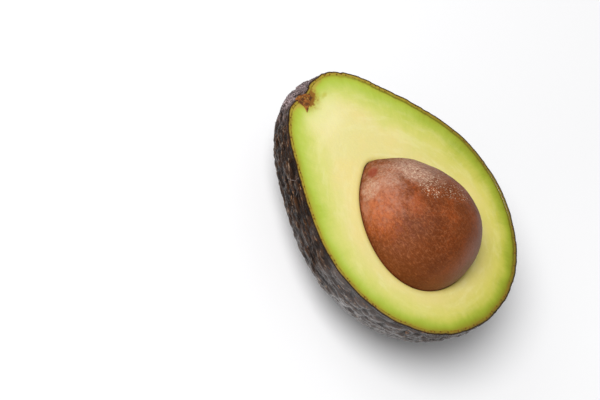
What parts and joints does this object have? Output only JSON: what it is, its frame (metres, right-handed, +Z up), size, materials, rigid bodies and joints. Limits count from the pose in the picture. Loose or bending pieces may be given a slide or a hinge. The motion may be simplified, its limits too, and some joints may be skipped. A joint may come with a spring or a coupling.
{
  "type": "avocado half",
  "caption": "Half of an avocado cut lengthwise and lying on its back, with dark pebbled skin, green-edged flesh and the brown stone standing out of the cut face.",
  "frame": {"origin": "centre of the small flat spot that the half rests on, straight below its centre of mass", "axes": "+Z up, out of the cut face; +Y along the fruit towards the stem end; +X across the cut face"},
  "size_m": [0.0786, 0.096, 0.0527],
  "materials": {
    "skin": "satin",
    "flesh": "satin",
    "stone": "matte",
    "stem_stub": "matte"
  },
  "bodies": {
    "root": {"skin": "skin", "flesh": "flesh", "stone": "stone", "stem_stub": "stem_stub"}
  },
  "joints": []
}
